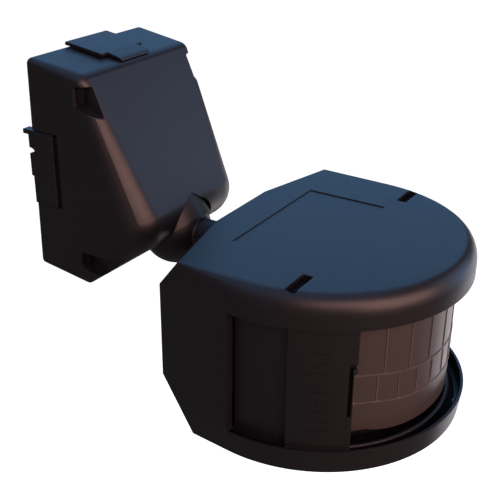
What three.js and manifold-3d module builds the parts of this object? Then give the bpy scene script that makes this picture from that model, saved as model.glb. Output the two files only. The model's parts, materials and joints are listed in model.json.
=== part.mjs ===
// Outdoor passive-infrared motion sensor on a swivelling wall bracket.
// Millimetres, +Z up. The origin is the centre of the wall face: the wall is the plane y = 0,
// the bracket stands in front of it and the sensor head looks along -Y.

import * as THREE from 'three';
import { ConvexGeometry } from 'three/addons/geometries/ConvexGeometry.js';
import { mergeVertices } from 'three/addons/utils/BufferGeometryUtils.js';
import Module from 'manifold-3d';

const wasm = await Module();
wasm.setup();

// ---- Driving dimensions -------------------------------------------------------------------

const GAP = 0.3; // clearance between pieces that touch
const CLEAR = 5; // how far a cutting shape reaches past what it cuts
const OVERCUT = 0.01; // overlap of two cuts that meet face to face
const WALL = 2.2; // moulded wall thickness
const SIDES = [['left', -1], ['right', 1]];

// Bracket cover: its side outline, as [y, z] corners, and the rounding at each corner.
const COVER_HALF_WIDTH = 27.7;
const REAR_TOP = [-5.4, 33.8];
const FRONT_TOP = [-27, 30.8];
const NOSE = [-50.4, -19.4];
const HEEL = [-24.4, -38.4];
const REAR_BOTTOM = [-4.2, -35.6];
const COVER_OUTLINE = [REAR_TOP, FRONT_TOP, NOSE, HEEL, REAR_BOTTOM];
const COVER_ROUNDING = [0.8, 3.4, 10, 2, 1.2];
const LEAST_ROUNDING = 0.6;
const OPEN_REAR_Y = 2; // the cover's hollow is carried past its open rear
const BEYOND_FRONT = -60; // a plane in front of the whole bracket
const LEDGE = { inner: 19.6, outer: 25.8, halfDepth: 5, z0: 9.5, z1: 12.9 }; // bridge seats

// Release recesses at the cover's four side corners, where the wall plate's snap arms catch.
const RECESS_INNER_X = 23.9;
const RECESS_WALL = 1.8;
const RECESS_FALL = 0.35; // how steeply a recess's lower edge falls towards the front
const UPPER_RECESS = { floorY: -24.2, z0: 21.1, z1: 27.3 };
const LOWER_RECESS = { floorY: -22.7, z0: -32.1, z1: -27.1 };
const RECESSES = [UPPER_RECESS, LOWER_RECESS];
const ARM = { inner: 24, outer: 25.2, hook: 26.5, hookDepth: 1.5, lowest: -31.5 };
const ARM_SLOT_MARGIN = 0.3;
const PILOT_RADIUS = 1.7;
const SCREW_HOLE_RADIUS = 1.5;
const SHANK_RADIUS = 1.4;

// Wall plate: a slab that stands proud of the cover's rim, and a wider step inside the cover.
const SLAB = { halfX: 19.5, halfZ: 27, depth: 4.5 };
const STEP = { halfX: 22, z0: -29, z1: 29.5, depth: 7 };
const CABLE_HOLE = { z: -11, radius: 7.5 };
const WALL_SLOT = { halfWidth: 2.4, halfLength: 5, upperZ: 20, lowerZ: -23.6 };

// Side cable-entry inserts.
const ENTRY = { frontY: -16, plateY: -14, rearY: -4.9, z0: -13.7, z1: 10.9, flange: 1.4 };
const ENTRY_LIP = { rearY: -4.1, z0: -4.6 }; // the part of the insert's rear edge that stands out
const ENTRY_TAB = { depth: 3, rearY: -2, height: 1.5 };
const ENTRY_NOTCH = { radius: 2.6, y: -4.7, z: 4.2, squash: 0.4 };

// Ball joint: the swivel axis passes through the ball's centre, square to the cover's underside.
const BALL = new THREE.Vector3(0, -40.5, -24.5);
const BALL_RADIUS = 11.6;
const SWIVEL_LEAN = THREE.MathUtils.degToRad(36.2);
const CUP = { inner: 11.9, outer: 12.5, rim: -1, top: 12.9, stud: 4.8, bore: 3.2, studTop: 24 };
const NOTCH = { radius: 10.8, z: -23.3 };
const BRIDGE = { z0: 13.2, z1: 15.7, front: -9.8, rear: 12, screwX: 21.8 };
const NECK = { radius: 5.6, bore: 3.6, endY: -72.5, collar: 8.2, collarY: [-63.7, -62] };

// Top latch.
const LATCH = { halfWidth: 10, lipHalfWidth: 7.2, thickness: 1.2, frontY: -20.2, tip: 0.4 };
const LATCH_TURN = 18; // degrees that the lip follows round the cover's front edge

// Head: a round front about a vertical axis, straight sides and a flat rear.
const AXIS_Y = -94.7;
const HOOD_RADIUS = 45.8;
const HOOD_FILLET = 4.2;
const CORNER_FILLET_SHARE = 0.25; // how much of the fillet is left at the rear top corners
const HOOD_TOP = -10.6;
const HOOD_EDGE = -20.5;
const TRAY_RADIUS = 46.4;
const TRAY_FOOT_RADIUS = 45.5;
const TRAY_TOP = -58.7;
const HEAD_BOTTOM = -66.1;
const HEAD_SIDE = 44;
const HEAD_REAR = -65.8;
const REAR_SHOULDER_X = 14; // half-width of the rear edge's straight middle
const REAR_CORNER_Y = -66.4;
const TOP_CORNER_Y = -72.5;
const REAR_CORNER_TOP = -18.8;
const CHAMFER_TOP = -48.7;
const CHAMFER_FOOT_Y = -76.9;
const ARC_END = 105; // degrees from straight ahead at which the round front meets the sides
const WINDOW_HALF_ANGLE = 96;
const TOP_SLOT = { x: 36, y: -106.6, length: 10.2, width: 3.1 };
const RECESS = { radius: 45.2, rearY: -79.5, halfX: 42.4, step: -61.6, stepWidth: 1.4 };
const JAMB = { inner: 42.9, outer: 45.2, to: 99 }; // thick ends of the window
const HOOD_INNER_RADIUS = 44.7;
const HOOD_THICKNESS = 2.4;
const ARC_STEP = 7.5;
const POST = { x: 33, y: -84, radius: 3.2, foot: -63.4 };

// Lens, its carrier and the two sliding shutters.
const LENS = { inner: 39.8, outer: 41, bottom: -57, top: -14.2, halfAngle: 74 };
const CARRIER = { inner: 37.4, outer: 39.5, bottom: -58, top: -13.6, endAngle: 98 };
const CARRIER_WINDOW = { halfAngle: 70, z0: -52, z1: -18 };
const CHEEK = { inner: 39, outer: 42.6, from: 74.5, to: 95.6, bottom: -61, top: -17 };
const CARRIER_HOOK = { from: 33, to: 36.8, y0: -107.6, y1: -105.5, z0: -17, z1: -12 };
const SHUTTER = { inner: 42.9, outer: 44.3, foot: 44.9, from: 49.8, to: 73.5, top: -17, bottom: -61 };
const SHUTTER_STEP = -59.2;
const FINGER_SLOT = { from: 50.3, to: 51.8, z0: -48.7, z1: -31.7, depth: 0.9 };
const RIB = { inner: 40.4, outer: 42.1, halfAngle: 74, top: -60 };
const BASE = { clearance: RECESS.stepWidth + GAP, z0: HEAD_BOTTOM + 0.2, z1: HEAD_BOTTOM + 2.2 };

// Circuit board and what it carries.
const BOARD = { front: -90.1, rear: -88.5, halfX: 36.6, z0: -55, z1: -17 };
const PIR_Z = -37;
const DIALS = [['time', -16], ['light', 0], ['range', 16]];
const DIAL = { y: -87, radius: 4.8, z0: -65.8, z1: -61 };

// ---- Materials ----------------------------------------------------------------------------

const finish = (color, roughness, metalness = 0) => (
  new THREE.MeshStandardMaterial({ color, roughness, metalness })
);
const CASE = finish(0x24272c, 0.5);
const CASE_INNER = finish(0x191a1c, 0.65);
const LENS_SMOKE = finish(0x4a3f3c, 0.4);
const STEEL = finish(0x9a9ca0, 0.35, 1);
const BRASS = finish(0xb08d4a, 0.35, 1);
const SEAL = finish(0x101010, 0.85);
const BOARD_GREEN = finish(0x1d5a36, 0.5);
const PART_BLACK = finish(0x17181a, 0.45);
const PART_BLUE = finish(0x2b4a86, 0.45);
const NYLON = finish(0xd8d4c8, 0.5);
const AMBER = finish(0xb25a1e, 0.3);

// ---- Solids -------------------------------------------------------------------------------

// Turns a closed three.js geometry into a manifold solid.
function solid(geometry) {
  const bare = geometry.clone();
  bare.deleteAttribute('normal');
  bare.deleteAttribute('uv');
  const merged = mergeVertices(bare, 1e-4);
  const mesh = new wasm.Mesh({
    numProp: 3,
    vertProperties: new Float32Array(merged.attributes.position.array),
    triVerts: new Uint32Array(merged.index.array),
  });
  return new wasm.Manifold(mesh);
}

// Turns a manifold solid back into a geometry.
function surface(body) {
  const mesh = body.getMesh();
  const geometry = new THREE.BufferGeometry();
  geometry.setAttribute('position', new THREE.BufferAttribute(mesh.vertProperties, 3));
  geometry.setIndex(new THREE.BufferAttribute(mesh.triVerts, 1));
  return geometry;
}

function boxGeometry([x0, x1], [y0, y1], [z0, z1]) {
  const geometry = new THREE.BoxGeometry(x1 - x0, y1 - y0, z1 - z0);
  return geometry.translate((x0 + x1) / 2, (y0 + y1) / 2, (z0 + z1) / 2);
}

const block = (xs, ys, zs) => solid(boxGeometry(xs, ys, zs));

// A range about a middle, and a range given for the right side carried onto either side.
const about = (middle, halfWidth) => [middle - halfWidth, middle + halfWidth];
const onSide = (side, a, b) => [Math.min(side * a, side * b), Math.max(side * a, side * b)];

// Upright, front-to-back and sideways rods.
function rodZ(radius, z0, z1, x, y, sides = 24) {
  const geometry = new THREE.CylinderGeometry(radius, radius, z1 - z0, sides);
  return solid(geometry.rotateX(Math.PI / 2).translate(x, y, (z0 + z1) / 2));
}

function rodY(radius, y0, y1, x, z, sides = 24) {
  const geometry = new THREE.CylinderGeometry(radius, radius, y1 - y0, sides);
  return solid(geometry.translate(x, (y0 + y1) / 2, z));
}

// A [y, z] outline extruded from x0 to x1.
function sideExtrusion(outline, [x0, x1]) {
  const shape = new THREE.Shape(outline.map(([y, z]) => new THREE.Vector2(y, z)));
  const geometry = new THREE.ExtrudeGeometry(shape, { depth: x1 - x0, bevelEnabled: false });
  const toWorld = new THREE.Matrix4().makeBasis(
    new THREE.Vector3(0, 1, 0), new THREE.Vector3(0, 0, 1), new THREE.Vector3(1, 0, 0),
  );
  return solid(geometry.applyMatrix4(toWorld).translate(x0, 0, 0));
}

// An upright extrusion of a plan shape.
function plan(shape, z0, z1, curveSegments = 24) {
  const settings = { depth: z1 - z0, bevelEnabled: false, curveSegments };
  return solid(new THREE.ExtrudeGeometry(shape, settings).translate(0, 0, z0));
}

// Angle of a direction in plan: 0 looks along -Y and positive angles turn towards +X.
const heading = (degrees) => THREE.MathUtils.degToRad(degrees - 90);

function arcPoint(radius, degrees) {
  const angle = heading(degrees);
  return [radius * Math.cos(angle), AXIS_Y + radius * Math.sin(angle)];
}

// A curved wall about the lens axis between two radii and two angles.
function curvedWall(inner, outer, [from, to], [z0, z1]) {
  const shape = new THREE.Shape();
  shape.absarc(0, AXIS_Y, outer, heading(from), heading(to), false);
  shape.absarc(0, AXIS_Y, inner, heading(to), heading(from), true);
  return plan(shape, z0, z1, Math.max(2, Math.ceil((to - from) / 7.5)));
}

// A solid of revolution about +Z from a closed [radius, z] profile.
function turned(profile, sides = 32) {
  const points = profile.map(([r, z]) => new THREE.Vector2(r, z));
  points.push(points[0].clone());
  return new THREE.LatheGeometry(points, sides).rotateX(Math.PI / 2);
}

// Upright washer about the z axis.
const ring = (inner, outer, z0, z1, sides = 32) => (
  turned([[inner, z0], [outer, z0], [outer, z1], [inner, z1]], sides)
);

// Swivel frame: origin at the ball's centre and +Z up the swivel axis, into the cover.
const SWIVEL_FRAME = new THREE.Matrix4().makeRotationX(-SWIVEL_LEAN).setPosition(BALL);
const inSwivel = (geometry) => solid(geometry.clone().applyMatrix4(SWIVEL_FRAME));

function swivelRod(radius, z0, z1, x = 0, sides = 32) {
  const geometry = new THREE.CylinderGeometry(radius, radius, z1 - z0, sides);
  return inSwivel(geometry.rotateX(Math.PI / 2).translate(x, 0, (z0 + z1) / 2));
}

const swivelBlock = (xs, ys, zs) => inSwivel(boxGeometry(xs, ys, zs));

// Point at the given distance inside both edges of an outline corner.
function insetCorner(previous, corner, next, inset) {
  const here = new THREE.Vector2(...corner);
  const back = new THREE.Vector2(...previous).sub(here).normalize();
  const ahead = new THREE.Vector2(...next).sub(here).normalize();
  const reach = inset / Math.abs(back.cross(ahead));
  return here.add(back.add(ahead).multiplyScalar(reach)).toArray();
}

function insetOutline(outline, insets) {
  const count = outline.length;
  return outline.map((corner, i) => (
    insetCorner(outline[(i + count - 1) % count], corner, outline[(i + 1) % count], insets[i])
  ));
}

// Convex prism across X with every corner rounded to its own radius.
function roundedPrism(outline, halfWidth, radii) {
  const centres = insetOutline(outline, radii);
  const points = [];
  centres.forEach(([y, z], i) => {
    const sphere = new THREE.SphereGeometry(radii[i], 12, 6);
    const places = sphere.attributes.position;
    for (const side of [-1, 1]) {
      for (let k = 0; k < places.count; k += 1) {
        const point = new THREE.Vector3().fromBufferAttribute(places, k);
        points.push(point.add(new THREE.Vector3(side * (halfWidth - radii[i]), y, z)));
      }
    }
  });
  return solid(new ConvexGeometry(points));
}

// ---- Bracket ------------------------------------------------------------------------------

// Height of the line through two outline corners at a given y.
const lineHeight = ([y0, z0], [y1, z1], y) => z0 + ((z1 - z0) * (y - y0)) / (y1 - y0);

function coverBody() {
  const outer = roundedPrism(COVER_OUTLINE, COVER_HALF_WIDTH, COVER_ROUNDING);
  const inside = insetOutline(COVER_OUTLINE, COVER_OUTLINE.map(() => WALL));
  const [top, frontTop, nose, heel, bottom] = inside;
  const openTop = [OPEN_REAR_Y, lineHeight(frontTop, top, OPEN_REAR_Y)];
  const openBottom = [OPEN_REAR_Y, lineHeight(heel, bottom, OPEN_REAR_Y)];
  const rounding = COVER_ROUNDING.map((radius) => Math.max(radius - WALL, LEAST_ROUNDING));
  const cavityOutline = [openTop, frontTop, nose, heel, openBottom];
  const cavity = roundedPrism(cavityOutline, COVER_HALF_WIDTH - WALL, rounding);
  return { outer, shell: outer.subtract(cavity) };
}

// The space of one release recess, open to the side and to the front, grown by a wall.
function recessSpace(recess, side, wall) {
  const xs = onSide(side, RECESS_INNER_X - wall, COVER_HALF_WIDTH + CLEAR);
  const rear = recess.floorY + wall;
  const low = recess.z0 - wall;
  const high = recess.z1 + wall;
  const frontLow = low - RECESS_FALL * (rear - BEYOND_FRONT);
  return sideExtrusion([[rear, high], [BEYOND_FRONT, high], [BEYOND_FRONT, frontLow], [rear, low]], xs);
}

// The slot through a recess's floor for its snap arm.
function armSlot(recess, side) {
  const xs = onSide(side, ARM.inner - GAP, ARM.outer + GAP);
  const ys = [recess.floorY - GAP, recess.floorY + RECESS_WALL + GAP];
  return block(xs, ys, [recess.z0 + ARM_SLOT_MARGIN, recess.z1 - ARM_SLOT_MARGIN]);
}

function bracketCover() {
  const { outer, shell } = coverBody();
  let cover = shell;
  for (const [, side] of SIDES) {
    for (const recess of RECESSES) {
      cover = cover.add(recessSpace(recess, side, RECESS_WALL).intersect(outer));
    }
    const ledgeX = onSide(side, LEDGE.inner, LEDGE.outer);
    cover = cover.add(swivelBlock(ledgeX, about(0, LEDGE.halfDepth), [LEDGE.z0, LEDGE.z1]));
  }
  for (const [, side] of SIDES) {
    for (const recess of RECESSES) {
      cover = cover.subtract(recessSpace(recess, side, 0)).subtract(armSlot(recess, side));
    }
    const entryX = onSide(side, COVER_HALF_WIDTH - WALL - 0.5, COVER_HALF_WIDTH + CLEAR);
    cover = cover.subtract(block(entryX, [ENTRY.frontY, 1], [ENTRY.z0, ENTRY.z1]));
    const screwX = side * BRIDGE.screwX;
    cover = cover.subtract(swivelRod(SCREW_HOLE_RADIUS, LEDGE.z0 - 1, LEDGE.z1 + 1, screwX, 16));
  }
  cover = cover.subtract(swivelRod(CUP.outer + GAP, -20, CUP.top + GAP));
  return cover.subtract(rodY(NOTCH.radius, BEYOND_FRONT, BALL.y, 0, NOTCH.z));
}

// A snap arm reaching forwards from the wall plate, its hook turned outwards at the tip.
function snapArm(recess, side) {
  const zs = [Math.max(recess.z0 + 2 * GAP, ARM.lowest), recess.z1 - 2 * GAP];
  const tipY = recess.floorY - GAP;
  const arm = block(onSide(side, ARM.inner, ARM.outer), [tipY - ARM.hookDepth, -SLAB.depth], zs);
  const hook = block(onSide(side, ARM.inner, ARM.hook), [tipY - ARM.hookDepth, tipY], zs);
  const root = block(onSide(side, STEP.halfX - 2, ARM.outer), [-STEP.depth, -SLAB.depth], zs);
  return arm.add(hook).add(root);
}

function wallPlate() {
  const slabZ = about(0, SLAB.halfZ);
  let plate = block(about(0, SLAB.halfX), [-SLAB.depth, 0], slabZ);
  plate = plate.add(block(about(0, STEP.halfX), [-STEP.depth, -SLAB.depth], [STEP.z0, STEP.z1]));
  for (const [, side] of SIDES) {
    for (const recess of RECESSES) plate = plate.add(snapArm(recess, side));
  }
  plate = plate.subtract(rodY(CABLE_HOLE.radius, -12, 1, 0, CABLE_HOLE.z, 32));
  const { halfWidth, halfLength, upperZ, lowerZ } = WALL_SLOT;
  const through = [-12, 1];
  plate = plate.subtract(block(about(0, halfWidth), through, about(upperZ, halfLength)));
  return plate.subtract(block(about(0, halfLength), through, about(lowerZ, halfWidth)));
}

function cableGrommet() {
  const r = CABLE_HOLE.radius;
  const profile = [[4.6, 0], [r - GAP, 0], [r - GAP, 7.3], [r + 1.8, 7.3], [r + 1.8, 9], [4.6, 9]];
  return solid(turned(profile).rotateX(Math.PI / 2).translate(0, -0.2, CABLE_HOLE.z));
}

function entryInsert(side) {
  const face = COVER_HALF_WIDTH;
  const back = COVER_HALF_WIDTH - WALL - GAP - ENTRY.flange;
  const xs = onSide(side, back, face);
  const zs = [ENTRY.z0 + GAP, ENTRY.z1 - GAP];
  let insert = block(xs, [ENTRY.plateY, ENTRY.rearY], zs);
  insert = insert.add(block(xs, [ENTRY.plateY, ENTRY_LIP.rearY], [ENTRY_LIP.z0, zs[1]]));
  const flangeX = onSide(side, back, back + ENTRY.flange);
  insert = insert.add(block(
    flangeX, [ENTRY.frontY - 1.2, ENTRY.rearY], [ENTRY.z0 - 1.5, ENTRY.z1 + 1.5],
  ));
  const tabX = onSide(side, face - ENTRY_TAB.depth, face);
  insert = insert.add(block(tabX, [ENTRY.rearY, ENTRY_TAB.rearY], [zs[1] - ENTRY_TAB.height, zs[1]]));
  const notch = new THREE.CylinderGeometry(ENTRY_NOTCH.radius, ENTRY_NOTCH.radius, 8, 4);
  notch.rotateZ(Math.PI / 2).scale(1, 1, ENTRY_NOTCH.squash).rotateX(Math.PI / 2);
  return insert.subtract(solid(notch.translate(side * face, ENTRY_NOTCH.y, ENTRY_NOTCH.z)));
}

// Three-pole terminal block on the wall plate, with its screws.
const TERMINAL = { pitch: 7.5, rear: -STEP.depth - GAP, front: -17, z0: 2.5, z1: 12.5, screwZ: 7.5 };

function terminalBlock() {
  const { pitch, front, rear, z0, z1, screwZ } = TERMINAL;
  let body = block(about(0, 1.5 * pitch), [front, rear], [z0, z1]);
  for (const pole of [-1, 0, 1]) {
    const x = pole * pitch;
    body = body.subtract(rodY(2.4, front - 1, front + 4, x, screwZ, 16));
    body = body.subtract(block(about(x, 1.6), [-12.5, -9.5], [z0 - 1, z0 + 3]));
  }
  return body;
}

function terminalScrew(pole) {
  const x = pole * TERMINAL.pitch;
  const { front, screwZ } = TERMINAL;
  const body = rodY(2.1, front + 1.2, front + 3.7, x, screwZ, 16);
  return body.subtract(block(about(x, 0.4), [front, front + 2], about(screwZ, 1.8)));
}

// A bundle of wires as one round tube along a smooth path.
function leads(points, radius) {
  const path = new THREE.CatmullRomCurve3(points.map((p) => new THREE.Vector3(...p)));
  const section = new THREE.Shape().absarc(0, 0, radius, 0, 2 * Math.PI, false);
  const settings = { steps: 12, extrudePath: path, curveSegments: 4 };
  return solid(new THREE.ExtrudeGeometry(section, settings));
}

const onSwivelAxis = (z) => new THREE.Vector3(0, 0, z).applyMatrix4(SWIVEL_FRAME).toArray();

function bracketLeads() {
  return leads([onSwivelAxis(CUP.studTop + 0.6), onSwivelAxis(CUP.studTop + 6),
    [0, -19, 0.5], [0, -13, -1.5], [0, -11, 1.8]], 1.4);
}

// ---- Latch --------------------------------------------------------------------------------

function topLatch() {
  const ahead = new THREE.Vector2(...FRONT_TOP).sub(new THREE.Vector2(...REAR_TOP)).normalize();
  const up = new THREE.Vector2(ahead.y, -ahead.x);
  const rounding = COVER_ROUNDING[1];
  const centre = new THREE.Vector2(...insetCorner(REAR_TOP, FRONT_TOP, NOSE, rounding));
  const inner = rounding + GAP;
  const outer = inner + LATCH.thickness;
  // Point at a height above the rounding's centre, at a distance behind it.
  const flat = (radius, back) => (
    centre.clone().addScaledVector(up, radius).addScaledVector(ahead, -back).toArray()
  );
  // Point of the lip, which follows the rounding and thins towards its tip.
  const steps = 4;
  const bent = (step, thickness) => {
    const angle = up.angle() + THREE.MathUtils.degToRad((LATCH_TURN * step) / steps);
    const radius = inner + thickness;
    return [centre.x + radius * Math.cos(angle), centre.y + radius * Math.sin(angle)];
  };
  const rear = centre.clone().sub(new THREE.Vector2(...REAR_TOP)).dot(ahead) - 0.4;
  const front = (centre.x - LATCH.frontY) / ahead.x;
  const plate = sideExtrusion([
    flat(inner, rear), flat(outer - 0.4, rear), flat(outer, rear - 0.4),
    flat(outer, front), flat(inner, front),
  ], about(0, LATCH.halfWidth));
  const lipOutline = [flat(inner, front + 1), flat(outer, front + 1), flat(outer, front)];
  for (let step = 0; step <= steps; step += 1) {
    const share = (step / steps + 1) / 2;
    lipOutline.push(bent(step, LATCH.thickness + (LATCH.tip - LATCH.thickness) * share));
  }
  for (let step = steps; step >= 0; step -= 1) lipOutline.push(bent(step, 0));
  return plate.add(sideExtrusion(lipOutline, about(0, LATCH.lipHalfWidth)));
}

// ---- Ball joint ---------------------------------------------------------------------------

function swivelCup() {
  const profile = [];
  const steps = 6;
  const start = Math.asin(CUP.rim / CUP.inner);
  const end = Math.acos(CUP.bore / CUP.inner);
  for (let i = 0; i <= steps; i += 1) {
    const angle = start + ((end - start) * i) / steps;
    profile.push([CUP.inner * Math.cos(angle), CUP.inner * Math.sin(angle)]);
  }
  profile.push([CUP.bore, CUP.studTop], [CUP.stud, CUP.studTop], [CUP.stud, CUP.top]);
  profile.push([CUP.outer - 1, CUP.top], [CUP.outer, CUP.top - 1], [CUP.outer, CUP.rim]);
  return inSwivel(turned(profile.reverse(), 32));
}

function swivelBridge() {
  const halfX = COVER_HALF_WIDTH - WALL - GAP;
  const zs = [BRIDGE.z0, BRIDGE.z1];
  let bridge = swivelBlock(about(0, halfX), [-4.5, 5.5], zs);
  bridge = bridge.add(swivelBlock(about(0, 12), [BRIDGE.front, BRIDGE.rear], zs));
  bridge = bridge.subtract(swivelRod(CUP.stud + GAP, 10, 20));
  for (const [, side] of SIDES) {
    bridge = bridge.subtract(swivelRod(SCREW_HOLE_RADIUS, 10, 20, side * BRIDGE.screwX, 16));
  }
  return bridge;
}

function bridgeScrew(side) {
  const x = side * BRIDGE.screwX;
  const head = swivelRod(2, BRIDGE.z1 + GAP, BRIDGE.z1 + GAP + 1.6, x, 16);
  return head.add(swivelRod(1.2, BRIDGE.z0 - 4, BRIDGE.z1 + 1, x, 12));
}

function ballAndNeck() {
  const sphere = (radius) => solid(new THREE.SphereGeometry(radius, 28, 14).translate(...BALL));
  let body = sphere(BALL_RADIUS).add(rodY(NECK.radius, NECK.endY, BALL.y, 0, BALL.z, 32));
  body = body.add(rodY(NECK.collar, NECK.collarY[0], NECK.collarY[1], 0, BALL.z, 32));
  body = body.subtract(sphere(BALL_RADIUS - WALL - 0.6));
  body = body.subtract(rodY(NECK.bore, NECK.endY - 1, BALL.y, 0, BALL.z, 24));
  return body.subtract(swivelRod(NECK.bore, 0, BALL_RADIUS + 1, 0, 24));
}

// Upright hexagonal nut about the z axis.
function nutGeometry(acrossCorners, bore, z0, z1) {
  const shape = new THREE.Shape();
  for (let i = 0; i < 6; i += 1) {
    const angle = (i * Math.PI) / 3;
    const corner = [acrossCorners * Math.cos(angle), acrossCorners * Math.sin(angle)];
    if (i === 0) shape.moveTo(...corner);
    else shape.lineTo(...corner);
  }
  shape.closePath();
  shape.holes.push(new THREE.Path().absarc(0, 0, bore, 0, 2 * Math.PI, true));
  const settings = { depth: z1 - z0, bevelEnabled: false, curveSegments: 12 };
  return new THREE.ExtrudeGeometry(shape, settings).translate(0, 0, z0);
}

// Stands a geometry made about the z axis on the neck, its z = 0 at the given y.
const onNeck = (geometry, y) => solid(geometry.rotateX(Math.PI / 2).translate(0, y, BALL.z));

// ---- Head ---------------------------------------------------------------------------------

// The head's convex outside, or the same shape moved inwards to make its hollow.
function headHull(arcInset, bodyInset, top, bottom) {
  const points = [];
  const fillet = HOOD_FILLET - arcInset * 0.5;
  const add = (x, y, z) => points.push(new THREE.Vector3(x, y, z));
  const addArc = (radius, z) => {
    for (let degrees = -ARC_END; degrees <= ARC_END; degrees += ARC_STEP) {
      add(...arcPoint(radius, degrees), z);
    }
  };
  const steps = 4;
  for (let k = 0; k <= steps; k += 1) {
    const turn = (k * Math.PI) / (2 * steps);
    const reach = fillet * (1 - Math.sin(turn));
    const z = top - fillet * (1 - Math.cos(turn));
    addArc(HOOD_RADIUS - arcInset - reach, z);
    const cornerX = HEAD_SIDE - bodyInset - reach * CORNER_FILLET_SHARE;
    for (const [, side] of SIDES) add(side * cornerX, TOP_CORNER_Y - bodyInset, z);
  }
  const taper = (TRAY_TOP - bottom) / (TRAY_TOP - HEAD_BOTTOM);
  if (bottom < TRAY_TOP) addArc(TRAY_RADIUS, TRAY_TOP);
  addArc(TRAY_RADIUS + (TRAY_FOOT_RADIUS - TRAY_RADIUS) * taper - arcInset, bottom);
  const fall = (CHAMFER_TOP - bottom) / (CHAMFER_TOP - HEAD_BOTTOM);
  const foot = REAR_CORNER_Y + (CHAMFER_FOOT_Y - REAR_CORNER_Y) * fall;
  for (const [, side] of SIDES) {
    const cornerX = side * (HEAD_SIDE - bodyInset);
    add(side * REAR_SHOULDER_X, HEAD_REAR - bodyInset, top);
    add(side * REAR_SHOULDER_X, HEAD_REAR - bodyInset, CHAMFER_TOP);
    add(cornerX, REAR_CORNER_Y - bodyInset, REAR_CORNER_TOP);
    add(cornerX, REAR_CORNER_Y - bodyInset, CHAMFER_TOP);
    add(cornerX, foot - bodyInset * 1.2, bottom);
  }
  return solid(new ConvexGeometry(points));
}

// The outline of the recess under the head, less a clearance.
function recessPlan(clearance, [z0, z1]) {
  const radius = RECESS.radius - clearance;
  const shape = new THREE.Shape();
  shape.absarc(0, AXIS_Y, radius, heading(-ARC_END), heading(ARC_END), false);
  shape.lineTo(RECESS.halfX - clearance, RECESS.rearY - clearance);
  shape.lineTo(-RECESS.halfX + clearance, RECESS.rearY - clearance);
  return plan(shape, z0, z1);
}

function housing() {
  const hollowInset = HOOD_RADIUS - HOOD_INNER_RADIUS;
  const ceiling = HOOD_TOP - HOOD_THICKNESS;
  let body = headHull(0, 0, HOOD_TOP, HEAD_BOTTOM);
  body = body.subtract(headHull(hollowInset, WALL, ceiling, TRAY_TOP));
  body = body.subtract(recessPlan(0, [RECESS.step, TRAY_TOP + OVERCUT]));
  body = body.subtract(recessPlan(RECESS.stepWidth, [HEAD_BOTTOM - 2, RECESS.step + OVERCUT]));
  for (const [, side] of SIDES) {
    const x = side * POST.x;
    body = body.add(rodZ(POST.radius, POST.foot, ceiling + 0.4, x, POST.y, 20));
    body = body.subtract(rodZ(PILOT_RADIUS, POST.foot - 1, POST.foot + 12, x, POST.y, 16));
    body = body.subtract(block(
      about(side * TOP_SLOT.x, TOP_SLOT.length / 2), about(TOP_SLOT.y, TOP_SLOT.width / 2),
      [ceiling - 2, HOOD_TOP + 1],
    ));
    const jambAngles = onSide(side, WINDOW_HALF_ANGLE - 1, JAMB.to);
    const jambHeights = [TRAY_TOP - GAP, HOOD_EDGE + 2];
    body = body.add(curvedWall(JAMB.inner, JAMB.outer, jambAngles, jambHeights));
  }
  const windowAngles = about(0, WINDOW_HALF_ANGLE);
  body = body.subtract(curvedWall(30, 60, windowAngles, [TRAY_TOP, HOOD_EDGE]));
  return body.subtract(rodY(NECK.radius + GAP, HEAD_REAR - 4, HEAD_REAR + 3, 0, BALL.z, 32));
}

function headBase() {
  let base = recessPlan(BASE.clearance, [BASE.z0, BASE.z1]);
  const ribHeights = [BASE.z1 - 0.5, RIB.top];
  base = base.add(curvedWall(RIB.inner, RIB.outer, about(0, RIB.halfAngle), ribHeights));
  for (const [, x] of DIALS) {
    base = base.subtract(rodZ(DIAL.radius + 0.4, HEAD_BOTTOM - 1, TRAY_TOP, x, DIAL.y, 28));
  }
  for (const [, side] of SIDES) {
    const x = side * POST.x;
    base = base.subtract(rodZ(PILOT_RADIUS, HEAD_BOTTOM - 1, TRAY_TOP, x, POST.y, 16));
    base = base.subtract(rodZ(3.2, HEAD_BOTTOM - 1, BASE.z0 + 0.9, x, POST.y, 20));
  }
  return base;
}

function baseScrew(side) {
  const x = side * POST.x;
  const head = rodZ(2.8, BASE.z0 - 0.6, BASE.z0 + 0.6, x, POST.y, 20);
  const shank = rodZ(SHANK_RADIUS, BASE.z0, POST.foot + 9, x, POST.y, 12);
  const slot = block(about(x, 2), about(POST.y, 0.4), [BASE.z0 - 1, BASE.z0]);
  return head.add(shank).subtract(slot);
}

function lens() {
  return curvedWall(LENS.inner, LENS.outer, about(0, LENS.halfAngle), [LENS.bottom, LENS.top]);
}

// A ring behind the lens with a window, a cheek at each end and two hooks for the hood's slots.
function lensCarrier() {
  const { inner, outer, endAngle, bottom, top } = CARRIER;
  let carrier = curvedWall(inner, outer, about(0, endAngle), [bottom, top]);
  const { halfAngle, z0, z1 } = CARRIER_WINDOW;
  carrier = carrier.subtract(curvedWall(30, 50, about(0, halfAngle), [z0, z1]));
  for (const [, side] of SIDES) {
    const cheekAngles = onSide(side, CHEEK.from, CHEEK.to);
    const cheekHeights = [CHEEK.bottom, CHEEK.top];
    carrier = carrier.add(curvedWall(CHEEK.inner, CHEEK.outer, cheekAngles, cheekHeights));
    const hook = CARRIER_HOOK;
    carrier = carrier.add(block(onSide(side, hook.from, hook.to), [hook.y0, hook.y1], [hook.z0, hook.z1]));
  }
  return carrier;
}

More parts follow.
